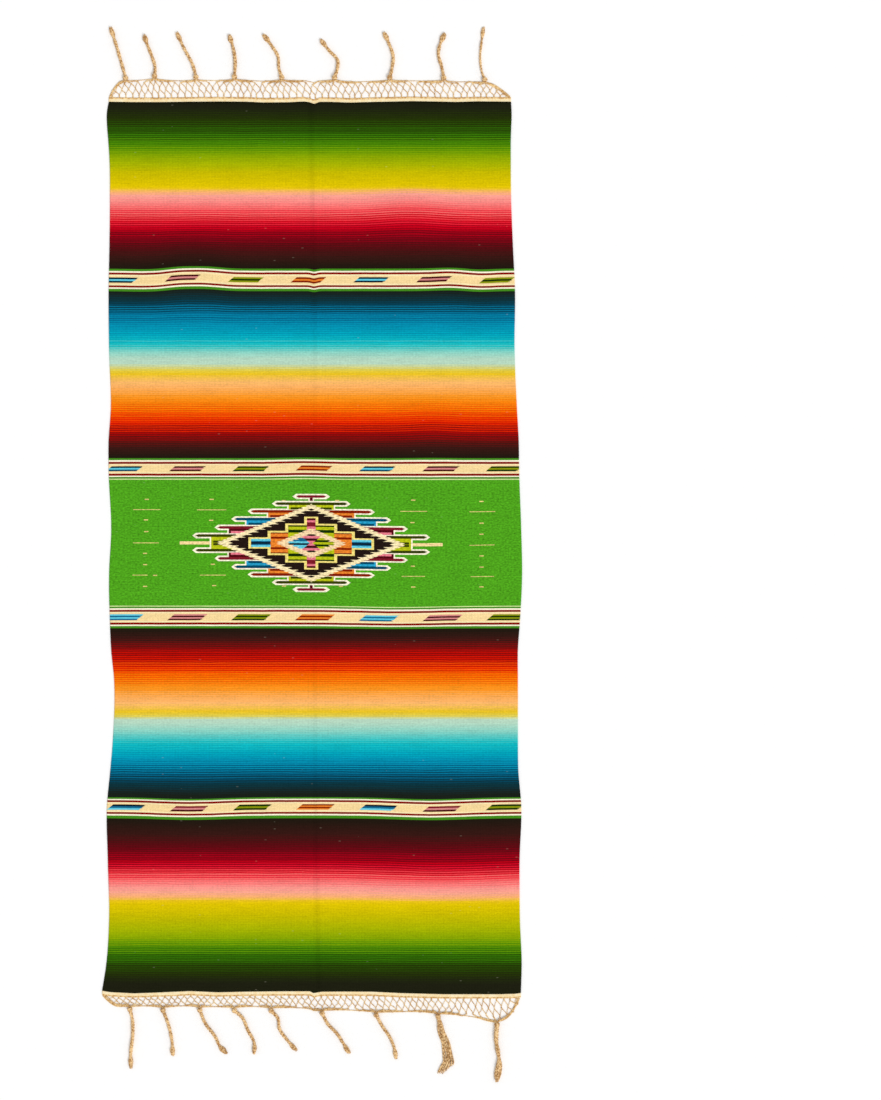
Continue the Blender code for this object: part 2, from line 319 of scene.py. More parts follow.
def smooth_between(places, values, at):
    """Reads a smooth curve through the given points, at one place or at many."""
    slopes = np.gradient(values, places)
    at = np.clip(at, places[0], places[-1])
    i = np.clip(np.searchsorted(places, at) - 1, 0, len(places) - 2)
    span = places[i + 1] - places[i]
    t = (at - places[i]) / span
    start = values[i] * (1 + 2 * t) + slopes[i] * span * t
    end = values[i + 1] * (3 - 2 * t) + slopes[i + 1] * span * (t - 1)
    return start * (1 - t) ** 2 + end * t**2


def selvages(along):
    """The left and right selvages at places along the blanket."""
    places, left, right = columns_of(SELVAGES)
    return smooth_between(places, left, along), smooth_between(places, right, along)


def woven_end(side, across):
    """How far along a woven end lies."""
    return ENDS[side] + side * np.interp(across, *columns_of(END_WAVES[side]))


def ripple_height(x, y):
    """How far the cloth's underside stands off the surface."""
    height = np.zeros(np.broadcast(x, y).shape)
    for across, along, half_length, half_width, turn, rise in RIPPLES:
        cos, sin = math.cos(math.radians(turn)), math.sin(math.radians(turn))
        u = ((x - across) * cos + (y - along) * sin) / half_length
        v = ((y - along) * cos - (x - across) * sin) / half_width
        height += rise * np.clip(1 - u * u - v * v, 0, None) ** 2
    return height


def weft_bend(x, v):
    """How far a weft line lies above its straight place."""
    rise = np.zeros(np.broadcast(x, v).shape)
    for across, along, half_width, half_length, most in WEFT_BENDS:
        rise += most * np.exp(-(((x - across) / half_width) ** 2) - ((v - along) / half_length) ** 2)
    return rise


# %% [markdown]
# ## The plan of the weaving
#
# From the top end the blanket has: a shaded section that goes from black through greens and pinks, a cream
# band with small slanted figures, a second shaded section in blues and oranges, a second band, and the green
# field with its diamond. The lower half mirrors the upper one. Each part gets a material of its own, which
# keeps every node tree short. Where parts meet, the mesh has a row of edges exactly on the meeting line.

# %% Plan along the blanket
# part, lower edge, upper edge
PLAN = [
    ("outer_bottom", -1043.0, -631.0), ("band_4", -631.0, -580.8), ("inner_bottom", -580.8, -176.9),
    ("band_3", -176.9, -123.1), ("field", -123.1, 178.1), ("band_2", 178.1, 229.4),
    ("inner_top", 229.4, 628.6), ("band_1", 628.6, 682.3), ("outer_top", 682.3, 1080.0),
]
# The dyes of a shaded section, from the end of the blanket inwards:
# dye, upper place, lower place, how strongly its picks are striped with the next dyes
OUTER_SHADES = [
    ("tar", 1068, -1024, 0.1), ("bottle", 1038, -996, 0.6), ("fir", 1006, -969, 1.0),
    ("grass", 989, -951, 1.0), ("leaf", 973, -937, 0.6), ("moss", 955, -919, 0.3),
    ("lime", 932, -896, 0.15), ("citron", 912, -864, 0.1), ("gold", 880, -836, 0.05),
    ("sunflower", 873, -828, 0.05), ("peach", 866, -820, 0.1), ("shell", 858, -806, 0.2),
    ("salmon", 841, -791, 0.3), ("rose", 828, -781, 0.5), ("coral", 817, -770, 0.7),
    ("crimson", 801, -759, 0.9), ("ruby", 790, -749, 1.0), ("garnet", 773, -731, 0.9),
    ("wine", 751, -714, 0.7), ("plum", 733, -692, 0.4), ("peat", 711, -669, 0.2),
    ("soot", 688, -638, 0.05),
]
INNER_SHADES = [
    ("teal_black", 626, -571, 0.1), ("deep_teal", 604, -547, 0.4), ("navy", 587, -533, 1.0),
    ("ocean", 579, -517, 1.0), ("azure", 559, -503, 0.9), ("cerulean", 533, -484, 0.8),
    ("turquoise", 513, -465, 0.8), ("lagoon", 501, -450, 0.3), ("aqua", 490, -436, 0.2),
    ("mint", 483, -423, 0.1), ("ice", 465, -403, 0.1), ("ice", 455, -395, 0.1),
    ("celery", 450, -392, 0.1), ("lemon", 441, -387, 0.1), ("sunflower", 432, -377, 0.1),
    ("apricot", 408, -355, 0.2), ("tangerine", 378, -326, 0.4), ("orange", 360, -308, 0.5),
    ("flame", 345, -290, 0.8), ("scarlet", 326, -274, 1.0), ("brick", 302, -253, 1.0),
    ("oxblood", 291, -235, 0.9), ("maroon", 272, -218, 0.6), ("peat", 253, -200, 0.3),
    ("soot", 232, -182, 0.1),
]
print("parts along the blanket:", len(PLAN))

# %% [markdown]
# ## The cloth as a mesh
#
# A flat sheet could be one plane with a Solidify modifier, but here the upper and lower faces are laid down
# together on one grid, so the shell is closed, its wall is even and the selvages can be rounded. Each
# corner keeps, as its UV, its place across and along the loom before the weft lines bend. The same UV is used
# on the underside, because the back of a tapestry shows the same pattern as its face.

# %% Grid of the cloth
CLOTH_WIDTH = 980.0
COLUMN_STEP = 10.0
ROW_STEP = 8.6
# Distance in from the selvage, and the share of the wall that is left there
ROUNDED_EDGE = [(0.0, 0.30), (0.9, 0.72), (2.6, 1.0), (5.5, 1.0)]
FOLD_PLACE = 8
# How far the fold leans across, for each millimetre along
FOLD_LEAN = -0.008
FOLD_HALF_WIDTH = 11
FOLD_RISE = 1.3
END_BLEND = 60


def cloth_rows():
    """Places along the loom, with a row on every meeting line."""
    rows = []
    for _, low, high in PLAN:
        rows += list(np.linspace(low, high, max(2, round((high - low) / ROW_STEP)), endpoint=False))
    return np.array([*rows, PLAN[-1][2]])


def cloth_steps():
    """Shares of the way across, closer together at the storage fold and at the selvages."""
    inner = np.linspace(10, CLOTH_WIDTH - 10, round(CLOTH_WIDTH / COLUMN_STEP)) / CLOTH_WIDTH
    fold = [0.5 + (FOLD_PLACE + offset) / CLOTH_WIDTH for offset in range(-20, 21, 4)]
    inner = [s for s in inner if min(abs(s - f) for f in fold) > 0.004] + fold
    edge = [inward / CLOTH_WIDTH for inward, _ in ROUNDED_EDGE]
    return np.array(sorted(edge + inner + [1 - s for s in edge]))


def small_waves(x, y):
    """The low unevenness that cloth keeps after it was folded."""
    slow = np.sin(x / 61 + 0.4) * np.sin(y / 83 + 1.1) + 0.7 * np.sin(x / 37 - y / 59)
    return 0.22 * (1.7 + slow)


def fold_height(x, y):
    """The storage fold that runs down the middle."""
    place = FOLD_PLACE + FOLD_LEAN * y + 3 * np.sin(y / 310)
    inside = np.clip(1 - ((x - place) / FOLD_HALF_WIDTH) ** 2, 0, None)
    return FOLD_RISE * (0.75 + 0.25 * np.sin(y / 140 + 0.7)) * inside**2


step = cloth_steps()[None, :]
along = cloth_rows()[:, None]
near, far = selvages(along)
x = near + (far - near) * step
y = along
bend = weft_bend(x, along)
for side, end in ENDS.items():
    closeness = np.clip(1 - side * (end - along) / END_BLEND, 0, 1) ** 2
    bend = bend * (1 - closeness)
    y = y + (woven_end(side, x) - end) * closeness
y = y + bend
under = ripple_height(x, y) + small_waves(x, y) + fold_height(x, y)
print("cloth grid:", x.shape)


# %% Mesh of the cloth
def make_cloth(name, materials):
    """The closed shell, with a material for each part of the plan."""
    rows, columns = x.shape
    inward = np.minimum(step, 1 - step) * CLOTH_WIDTH
    wall = CLOTH_WALL * np.interp(inward, *columns_of(ROUNDED_EDGE))
    low = under + (CLOTH_WALL - wall) / 2
    vertices = np.concatenate([np.stack([x, y, z], -1).reshape(-1, 3) for z in (low, low + wall)]) * MM
    index = np.arange(rows * columns).reshape(rows, columns)
    quads = np.stack([index[:-1, :-1], index[:-1, 1:], index[1:, 1:], index[1:, :-1]], -1).reshape(-1, 4)
    top = quads + rows * columns
    rim = [*index[0, :-1], *index[:-1, -1], *index[-1, :0:-1], *index[:0:-1, 0]]
    sides = [(a, b, b + rows * columns, a + rows * columns) for a, b in zip(rim, rim[1:] + rim[:1])]
    mesh = bpy.data.meshes.new(name)
    mesh.from_pydata(vertices.tolist(), [], quads[:, ::-1].tolist() + top.tolist() + sides)
    loom = np.stack([x.ravel(), np.broadcast_to(along, x.shape).ravel()], -1) * MM
    loom = np.concatenate([loom, loom])
    corners = np.empty(len(mesh.loops), int)
    mesh.loops.foreach_get("vertex_index", corners)
    mesh.uv_layers.new(name="loom").data.foreach_set("uv", loom[corners].ravel())
    for material in materials:
        mesh.materials.append(material)
    edges = np.array([upper for _, _, upper in PLAN[:-1]]) * MM
    for face in mesh.polygons:
        middle = sum(loom[v][1] for v in face.vertices) / len(face.vertices)
        face.material_index = int(np.searchsorted(edges, middle))
    mesh.shade_smooth()
    return add_object(name, mesh)


# %% [markdown]
# ## Wool in a tapestry weave
#
# Three things make wool look woven. The warp threads under the wool raise fine ribs along the blanket, each
# pick of weft is a small bead between two ribs, and no two picks took the dye quite alike, which leaves soft
# streaks across the cloth. A node group adds all three to any dye. It reads the loom UV, so the ribs follow
# the cloth. The ribs and beads are a bump, and they are also painted into the colour: painted shade in the
# grooves between them, and painted light on their tops. A few white fibres, caught in the wool, show as
# specks on the dark dyes, and painted shade makes the wool a little darker along the crease of the storage
# fold, most of all near the two ends.

# %% Wool finish
WARP_PITCH = 0.0037
PICK_PITCH = 0.00105
RIB_HEIGHT = 0.00022
WOOL_ROUGHNESS = 0.92


def loom_place(g, scale=1000):
    """A point's places across and along the loom, in millimetres, or in metres where scale is 1."""
    split = g.node("ShaderNodeSeparateXYZ", g.scaled(g.out("ShaderNodeUVMap", uv_map="loom"), scale))
    return g.value(split), g.value(split, 1)


def wool_group():
    """The node group: a dye comes in, and the colour and the bump of woven wool come out."""
    outputs = {"Color": "Color", "Normal": "Vector"}
    g = new_tree("woven_wool", "ShaderNodeTree", {"Dye": "Color", "Fuzz": "Float"}, outputs)
    place = g.out("ShaderNodeUVMap", uv_map="loom")
    across, along_loom = loom_place(g, 1)
    rib = (across * (TURN / WARP_PITCH)).sine()
    beads = (along_loom * (TURN / PICK_PITCH) + across * (TURN / (2 * WARP_PITCH))).sine()
    fuzz = g.noise(place, (170, 310, 1), 3)
    streaks = (g.noise(place, (22, 260, 1), 3) - 0.5) * 0.34
    clouds = (g.noise(place, (9, 26, 1), 3) - 0.5) * 0.16
    light = streaks + 1 + clouds + (fuzz - 0.5) * g.given["Fuzz"]
    # Painted shade of the storage fold's crease: a soft darker line along the fold, stronger towards the two
    # ends.
    fold_place = along_loom * FOLD_LEAN + FOLD_PLACE * MM + (along_loom * 3.2).sine() * 0.003
    painted_crease_shade = g.share(abs(across - fold_place), 0, FOLD_HALF_WIDTH * MM, 0.09, 0)
    # The rib and bead terms paint shade into the grooves between ribs and beads and light onto their tops,
    # beside the bump they give.
    light = light - painted_crease_shade * (abs(along_loom) + 0.4) + rib * 0.05 + beads * 0.04
    specks = g.node("ShaderNodeTexVoronoi", g.vector("MULTIPLY", place, (45, 130, 1)), inputs={"Scale": 1})
    chosen = g.out("ShaderNodeSeparateColor", g.value(specks, "Color")) > 0.93
    lint = (g.value(specks, "Distance") < 0.13) * chosen * 0.07
    colour = g.mix(lint, g.scaled(g.given["Dye"], light), DYES["band_white"])
    g.node("NodeGroupOutput", colour, g.bump(rib + beads * 0.6 + fuzz * 0.8, 0.7, RIB_HEIGHT))
    return g.tree


WOOL = wool_group()


def new_material(name, roughness, sheen=0.0):
    """A material, its graph and its shader, with the values that are the same all over."""
    material = bpy.data.materials.new(name)
    material.use_nodes = True
    shader = material.node_tree.nodes["Principled BSDF"].inputs
    values = {"Roughness": roughness, "Specular IOR Level": 0.01}
    values.update({"Sheen Weight": sheen, "Sheen Roughness": 0.6})
    for label, value in values.items():
        shader[label].default_value = value
    return material, Graph(material.node_tree), shader


def finish_wool(g, shader, dye, fuzz=0.5):
    """Gives a dye the weave's colour and bump. fuzz is how uneven the wool's own colour is."""
    wool = g.node("ShaderNodeGroup", node_tree=WOOL)
    g.feed(wool.inputs["Dye"], dye)
    g.feed(wool.inputs["Fuzz"], fuzz)
    g.feed(shader["Base Color"], g.value(wool))
    g.feed(shader["Normal"], g.value(wool, 1))


# %% [markdown]
# ## The shaded sections
#
# A weaver shades from one dye to the next by alternating thin lines of both, so the change is made of
# stripes. A colour ramp holds the dyes at their places along the loom. Before the ramp is read, the place is
# moved up for one line and down for the next, by an amount that a random number gives each line. The pale
# dyes are close to each other and blend smoothly, so a second ramp says how strongly each place is striped.

# %% Shaded sections
LINE_HEIGHT = 2.6
STRIPE_REACH = 19.0
BLEND_REACH = 5.0


def shuffled(g, across, along_loom, strength):
    """A place along the loom, moved to and fro in thin lines across the blanket."""
    line = g.out("ShaderNodeCombineXYZ", across * 0.014, along_loom)
    number = (along_loom / LINE_HEIGHT + g.noise(line, (1, 0.03, 1), 3) * 1.2).floor()
    chance = g.out("ShaderNodeTexWhiteNoise", None, number, noise_dimensions="1D")
    push = (number % 2 * 2 - 1) * (chance * 0.8 + 0.3) * STRIPE_REACH
    return push * strength + along_loom + (g.noise(line, (0.4, 0.5, 1), 3) - 0.5) * BLEND_REACH


def shaded_material(name, low, high):
    """The wool of one shaded section."""
    material, g, shader = new_material(name, WOOL_ROUGHNESS)
    across, along_loom = loom_place(g)
    shades = OUTER_SHADES if name.startswith("outer") else INNER_SHADES
    column = 1 if name.endswith("top") else 2
    rows = sorted(((row[column] - low) / (high - low), row) for row in shades)
    grades = [(share, (row[3], row[3], row[3], 1)) for share, row in rows]
    strength = g.ramp(g.share(along_loom, low, high), grades)
    place = g.share(shuffled(g, across, along_loom, strength), low, high)
    finish_wool(g, shader, g.ramp(place, [(share, DYES[row[0]]) for share, row in rows]))
    return material


# %% [markdown]
# ## The cream bands
#
# Each band is a stack of thin stripes: green, white and red at both edges, and cream between them. Slanted
# figures stand in the cream at an even pitch, in blue, pink, olive and orange by turns. One repeat of the
# pitch is worked out with a floor, so four short ramps colour all the figures of a band.

# %% Stripes of the bands
# The stripes of a band and the lower edge of each, from the bottom up
BAND_DYES = [f"band_{dye}" for dye in "green white red pale cream pale red white green".split()]
BAND_EDGES = {
    "band_1": (628.6, 634.6, 638.2, 642.8, 646.6, 664.8, 668.6, 673.4, 677.2),
    "band_2": (180.4, 184.6, 187.4, 192.6, 195.4, 213.0, 215.6, 220.6, 224.6),
    "band_3": (-176.9, -171.8, -168.4, -163.4, -160.0, -141.2, -138.0, -133.0, -129.0),
    "band_4": (-631.0, -624.2, -620.6, -615.8, -612.4, -595.4, -592.2, -587.6, -584.6),
}
# Where a pale line parts the band from the field
PALE_LINES = {"band_2": 178.1, "band_3": -125.4}
# The stripes of each figure, from the bottom up: blue, pink, olive, orange
FIGURES = {
    "band_1": (
        "night sky night",
        "coal_red dusk_pink coal_red",
        "moss_green deep_green moss_green",
        "rust amber rust",
    ),
    "band_2": (
        "navy sky night",
        "coal_red dusk_pink coal_red",
        "deep_green moss_green deep_green",
        "rust amber rust",
    ),
    "band_3": (
        "steel sky steel sky",
        "coal_red dusk_pink coal_red dusk_pink",
        "deep_green moss_green deep_green moss_green",
        "rust amber rust amber",
    ),
    "band_4": (
        "sky steel night",
        "coal_red dusk_pink rosewood",
        "deep_green moss_green deep_green",
        "amber rust amber rust",
    ),
}
# Where the first figure starts, the pitch, the length along one stripe, and half the height
FIGURE_PLACES = {
    "band_1": (-494, 150.0, 71, 6.3),
    "band_2": (-486, 151.3, 74, 6.0),
    "band_3": (-490, 152.5, 79, 7.3),
    "band_4": (-483, 150.9, 77, 6.5),
}
FIGURE_SLANT = 1.2


def stripe_ramp(g, share, dyes):
    """Stripes of equal width, from the names of their dyes."""
    names = dyes.split()
    return g.ramp(share, [(i / len(names), DYES[dye]) for i, dye in enumerate(names)], steps=True)


def band_material(name, low, high):
    """The wool of one cream band with its figures."""
    material, g, shader = new_material(name, WOOL_ROUGHNESS)
    across, along_loom = loom_place(g)
    along_loom = (g.noise(g.out("ShaderNodeCombineXYZ", across * 0.02), 1) - 0.5) * 1.4 + along_loom
    edges = BAND_EDGES[name]
    stripes = list(zip(edges, BAND_DYES))
    if name in PALE_LINES:
        stripes.append((PALE_LINES[name], "pale_line"))
    stops = [((edge - low) / (high - low), DYES[dye]) for edge, dye in sorted(stripes)]
    plain = g.ramp(g.share(along_loom, low, high), stops, steps=True)
    first, pitch, length, half_height = FIGURE_PLACES[name]
    rise = along_loom - (edges[4] + edges[5]) / 2
    turn = (across - first - rise * FIGURE_SLANT) / pitch
    number = turn.floor()
    ragged = (g.noise(g.out("ShaderNodeCombineXYZ", number, rise * 0.5), 1) - 0.5) * 18 + length
    inside = ((turn - number) * pitch < ragged) * (abs(rise) < half_height)
    height = g.share(rise, -half_height, half_height)
    figure = stripe_ramp(g, height, FIGURES[name][0])
    for order, dyes in enumerate(FIGURES[name][1:], 1):
        figure = g.mix((number % 4).near(order, 0.2), figure, stripe_ramp(g, height, dyes))
    finish_wool(g, shader, g.mix(inside, plain, figure))
    return material


# %% [markdown]
# ## The green field and its diamond
#
# The diamond is built like paper cut-outs: the largest shape first, and each next one over it. The pattern is
# the same in all four quarters, so every shape is drawn once from the distances p (across) and q (along) from
# the middle, both without a sign. A tapestry steps instead of sloping, so the slanted edges are cut into
# small teeth as high as a few picks.

# %% Shapes of the diamond
DIAMOND_MIDDLE = (-2.0, 27.0)
TOOTH_HEIGHT = 6.4
FINE_TOOTH_HEIGHT = 4.3
WHITE_EDGE = 3.4
# The five pairs of arms, from the middle outwards along the diamond's edge:
# height of the bar, its tip, where its block ends, the dyes of the bar, the block and its line
ARMS = [
    (17.5, 284, 239, "olive_dark", "olive_bright", "olive_dark"),
    (37.0, 231, 197, "rosewood", "berry", "pink"), (57.0, 191, 155, "navy", "cyan", "navy"),
    (75.5, 152, 103, "rust", "amber", "rust"), (94.0, 94, 54, "olive_dark", "olive_bright", "olive_dark"),
]
ARM_DEPTH = 3.2
BLOCK_DEPTH = 14.5
# Short floats of cream in the field: across, along, half length
FLOATS = [
    (-395, 131, 5), (-240, 131, 5), (-395, 106.5, 33), (-240, 106, 35), (-397, 82, 5), (-241, 81, 5),
    (-396, 54, 5), (-397, 27, 31), (-399, 2, 5), (-399, -25, 5), (-237, -24, 5), (-411, -50, 18),
    (-375, -50.5, 5), (-237, -50, 31), (-399, -77, 5), (-234, -75, 5), (-67, 128, 5), (60, 129, 5),
    (-67, -76, 5), (69, -76, 5), (242, 131, 5), (243, 105, 32), (240, 79, 5), (241, -25, 5),
    (242, -50, 28), (242, -76, 5), (405, 127, 5), (407, 103, 31), (405, 76, 5), (405, 50, 5),
    (406, 24, 30), (405, -2, 5), (405, -29, 5), (407, -52, 28), (405, -77, 5),
]


class Painter:
    """Lays shapes of dye over each other, in a quarter that is mirrored to all four."""

    def __init__(self, g, colour, across, along_loom):
        self.g = g
        self.colour = colour
        self.p_signed = across - DIAMOND_MIDDLE[0]
        self.q_signed = along_loom - DIAMOND_MIDDLE[1]
        self.p = abs(self.p_signed)
        self.q = abs(self.q_signed)

    def lay(self, mask, dye):
        """Lays a dye, or a colour from another node, where the mask holds."""
        self.colour = self.g.mix(mask, self.colour, DYES[dye] if isinstance(dye, str) else dye)

    def box(self, half_p, half_q, middle_p=0, middle_q=0):
        """A box in each quarter, or one over the middle."""
        return self.p.near(middle_p, half_p) * self.q.near(middle_q, half_q)

    def pointed(self, tip, half_q, middle_q, point):
        """A bar from the middle to its tip, which narrows over the last stretch."""
        room = (self.p * -1 + tip) * (half_q / point)
        return abs(self.q - middle_q) < room.step("MINIMUM", half_q)

    def diamond(self, half_p, half_q, tooth, reach):
        """A diamond whose edge is cut into teeth. reach is how far a tooth is drawn out."""
        row = self.q / tooth
        number = row.floor()
        peak = abs((row - number) * 2 - 1) - 0.5
        edge = ((number + 0.5) * (-tooth / half_q) + 1) * half_p
        return self.p < edge - peak * reach

    def striped(self, mask, half_q, dyes, signed=False):
        """Lays stripes along the loom, from the middle outwards, or from bottom to top."""
        share = self.g.share(self.q_signed, -half_q, half_q) if signed else self.q / half_q
        self.lay(mask, stripe_ramp(self.g, share, dyes))


def paint_arms(paint):
    """The bars and blocks that stand out from the diamond, each with a white outline."""
    for height, tip, block_end, bar, block, line in ARMS:
        inner = max(height - ARM_DEPTH - BLOCK_DEPTH, 0)
        paint.lay(paint.pointed(tip, ARM_DEPTH + WHITE_EDGE, height, 9), "band_white")
        outline = paint.box(block_end + WHITE_EDGE, (height - inner) / 2, 0, (inner + height) / 2)
        paint.lay(outline, "band_white")
    for height, tip, block_end, bar, block, line in ARMS:
        top = height - ARM_DEPTH
        inner = top - BLOCK_DEPTH
        inner = inner + WHITE_EDGE if inner > 0 else 0
        paint.lay(paint.box(block_end, (top - inner) / 2, 0, (inner + top) / 2), block)
        paint.lay(paint.box(block_end - 5, 2.6, 0, inner + 3), line)
        paint.lay(paint.pointed(tip - 7, ARM_DEPTH, height, 7), bar)


# The stepped cross in the black: half width and half height of each step's outline, and of its fill
CROSS_OUTLINES = [(150, 13.4), (104, 29), (62, 46.5), (16.7, 63)]
CROSS_FILLS = [
    (144, 9.8, "night steel sky sky"),
    (97, 25, "amber amber amber amber rust rust amber amber amber maroon"),
    (55, 42.5, "olive_bright " * 7 + "deep_green deep_green olive_bright olive_bright deep_green"),
    (10.5, 59.5, "pink " * 8 + "rosewood rosewood pink berry"),
]
# The small diamond in the middle, from bottom to top, and its heart from the middle outwards
CORE_LEFT = "night sky sky sky night sky steel steel night night"
CORE_RIGHT = "coal olive olive_bright deep_green olive_bright deep_green olive_bright olive coal"
CORE_HEART = "pink pink berry coal pink pink coal coal"
CORE_HALF = 23.0


def paint_middle(paint):
    """The stepped cross with its striped arms, and the small pale diamond on it."""
    for outline in CROSS_OUTLINES:
        paint.lay(paint.box(*outline), "straw")
    for half_p, half_q, dyes in CROSS_FILLS:
        paint.striped(paint.box(half_p, half_q), half_q, dyes)
    paint.lay(paint.diamond(84, 35.5, FINE_TOOTH_HEIGHT, 8), "blush")
    core = paint.diamond(60, CORE_HALF, FINE_TOOTH_HEIGHT, 6)
    paint.striped(core * (paint.p_signed < 0), CORE_HALF, CORE_LEFT, signed=True)
    paint.striped(core * (paint.p_signed > 0), CORE_HALF, CORE_RIGHT, signed=True)
    paint.striped(core * (paint.p < paint.q * 1.3 + 3), CORE_HALF, CORE_HEART)


def field_material(name, low, high):
    """The green field with the diamond on it."""
    material, g, shader = new_material(name, WOOL_ROUGHNESS)
    across, along_loom = loom_place(g)
    paint = Painter(g, DYES["field_green"], across, along_loom)
    for place, height, half in FLOATS:
        thick = 1.3 if half < 10 else 0.8
        paint.lay(across.near(place, half) * along_loom.near(height, thick), "float_cream")
    paint.lay(paint.box(37, 3.7, 277, 0), "band_cream")
    paint.lay(paint.pointed(45, 6.2, 111, 9), "band_white")
    paint.lay(paint.box(7, 8, 0, 102), "band_white")
    paint.lay(paint.pointed(36, 2.9, 111, 6), "rosewood")
    paint.lay(paint.box(3.6, 6, 0, 102), "berry")
    paint_arms(paint)
    paint.lay(paint.diamond(226, 92.5, FINE_TOOTH_HEIGHT, 6), "band_pale")
    paint.lay(paint.diamond(201, 81.5, TOOTH_HEIGHT, 11), "coal")
    paint_middle(paint)
    finish_wool(g, shader, paint.colour, fuzz=1.7)
    return material


# %% Weave the cloth
# Which kind of material each part has, by the first word of its name
WEAVES = {"outer": shaded_material, "inner": shaded_material, "band": band_material, "field": field_material}


def place_piece(piece, node):
    """Lets a piece ride with the blanket in place of its solid."""
    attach(piece, BODY)
    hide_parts(node)


cloth = make_cloth("tapestry_cloth", [WEAVES[part[0].split("_")[0]](*part) for part in PLAN])
place_piece(cloth, "cloth")
print("cloth faces:", len(cloth.data.polygons))

# %% [markdown]
# ## Undyed cotton
#
# The warp is undyed cotton, a warm cream that goes golden where fingers and dust have been. Fine streaks of
# noise stand for its fibres, and slower noise for the spots and patches. It reads Object coordinates, because
# the strands run in every direction.

# %% Cotton finishes
COTTON_ROUGHNESS = 0.88
COTTON_SHEEN = 0.04


def cotton_material(name, dark, light, fibre_scale, bump_depth, spot_share):
    """Undyed cotton with fibres, spots and darker patches."""
    material, g, shader = new_material(name, COTTON_ROUGHNESS, COTTON_SHEEN)
    place = g.value(g.node("ShaderNodeTexCoord"), "Object")
    fibres = g.noise(place, fibre_scale, 3)
    spots = g.share(g.noise(place, 230, 1), 0.36, 0.58)
    share = fibres * 0.35 + g.noise(place, 34) * 0.35 + spots * spot_share
    g.feed(shader["Base Color"], g.ramp(share, [(0.38, linear(dark)), (0.72, linear(light))]))
    g.feed(shader["Normal"], g.bump(fibres, 0.8, bump_depth))
    return material


NET_COTTON = cotton_material("net_cotton", (200, 154, 94), (254, 226, 170), 700, 0.0003, 0.25)
CORD_COTTON = cotton_material("cord_cotton", (182, 136, 84), (252, 218, 164), 800, 0.0004, 0.3)
HEADING_COTTON = cotton_material("heading_cotton", (246, 220, 168), (255, 246, 214), 600, 0.0003, 0.2)

# %% [markdown]
# ## The headings
#
# At each end the weaver beats in a few thick undyed picks, which stop the wool from slipping off the warp.
# They show as rounded ridges side by side. One profile of ridges is repeated at stations across the blanket,
# and a low ripple along each ridge stands for the warp that it passes over.

# %% Headings
SEAM_GAP = 0.3
HEADING_DEPTH = 11.0
HEADING_STEP = 2.4
HEADING_FLOOR = 0.05
# How far one warp thread's ripple reaches along a ridge, and how high it is
RIPPLE_LENGTH = 7.4
RIPPLE_HEIGHT = 0.16
# Distance out from the woven end, and the height there
HEADING_PROFILE = [
    (0.0, 0.9), (0.8, 1.75), (2.0, 2.0), (3.2, 1.6), (3.7, 1.1), (4.3, 1.6), (5.5, 1.9), (6.7, 1.5),
    (7.2, 1.0), (7.8, 1.6), (9.2, 2.2), (10.4, 1.6), (11.0, 0.8),
]


def make_heading(name, side):
    """The ridged strip beside the woven end."""
    left, right = selvages(ENDS[side])
    stations = np.linspace(left, right, round((right - left) / HEADING_STEP))
    count = len(HEADING_PROFILE)
    ring = 2 * count
    last = (len(stations) - 1) * ring
    vertices = []
    for across in stations:
        inner = woven_end(side, across) + side * SEAM_GAP
        beaten = RIPPLE_HEIGHT * math.sin(across * TURN / RIPPLE_LENGTH)
        for row, (out, height) in enumerate(HEADING_PROFILE):
            vertices.append((across, inner + side * out, height + (beaten if row % 4 == 2 else 0)))
        vertices += [(across, inner + side * out, HEADING_FLOOR) for out, _ in HEADING_PROFILE[::-1]]
    faces = []
    for start in range(0, last, ring):
        for k in range(ring):
            a, b = start + k, start + (k + 1) % ring
            faces.append((a, b, b + ring, a + ring))
    for start in (0, last):
        for k in range(count - 1):
            a, d = start + k, start + ring - 1 - k
            faces.append((a, d, d - 1, a + 1) if start == 0 else (a, a + 1, d - 1, d))
    if side > 0:
        faces = [face[::-1] for face in faces]
    mesh = bpy.data.meshes.new(name)
    mesh.from_pydata([[part * MM for part in vertex] for vertex in vertices], [], faces)
    mesh.materials.append(HEADING_COTTON)
    mesh.materials.append(NET_COTTON)
    mesh.shade_smooth()
    for number, face in enumerate(mesh.polygons[:last]):
        face.material_index = int(8 <= number % ring < count)
    return add_object(name, mesh)


# %% [markdown]
# ## Strands and knots with Geometry Nodes
#
# The net, the fine yarns of the tassels and the knots are all strands that follow a path. The script lays the
# paths as bare edges, with a width kept at every point. One tree then gives each path its round body, and
# sets a small knot on every loose point. It has named inputs, so one tree serves pieces of every size.


# %% Trees for strands
def strand_graph(name, inputs):
    """A Geometry Nodes tree that takes paths and the given named inputs."""
    inputs = {"Geometry": "Geometry", **inputs, "Sides": "Int", "Material": "Material"}
    return new_tree(name, "GeometryNodeTree", inputs, {"Geometry": "Geometry"})


def kept(g, name):
    """A number that the paths keep at each point."""
    return g.out("GeometryNodeInputNamedAttribute", name, data_type="FLOAT")


def tube(g, curve, radius):
    """A closed round body along each path."""
    ring = g.out("GeometryNodeCurvePrimitiveCircle", inputs={"Resolution": g.given["Sides"], "Radius": 1.0})
    links = {"Curve": curve, "Profile Curve": ring, "Scale": radius, "Fill Caps": True}
    return g.out("GeometryNodeCurveToMesh", inputs=links)


def finish_strands(g, *parts):
    """Joins the parts, makes them real and gives them their finish."""
    join = g.node("GeometryNodeJoinGeometry")
    for part in parts:
        g.feed(join.inputs[0], part)
    smooth = g.out("GeometryNodeSetShadeSmooth", g.out("GeometryNodeRealizeInstances", g.value(join)))
    links = {"Geometry": smooth, "Material": g.given["Material"]}
    g.node("NodeGroupOutput", g.out("GeometryNodeSetMaterial", inputs=links))
    return g.tree


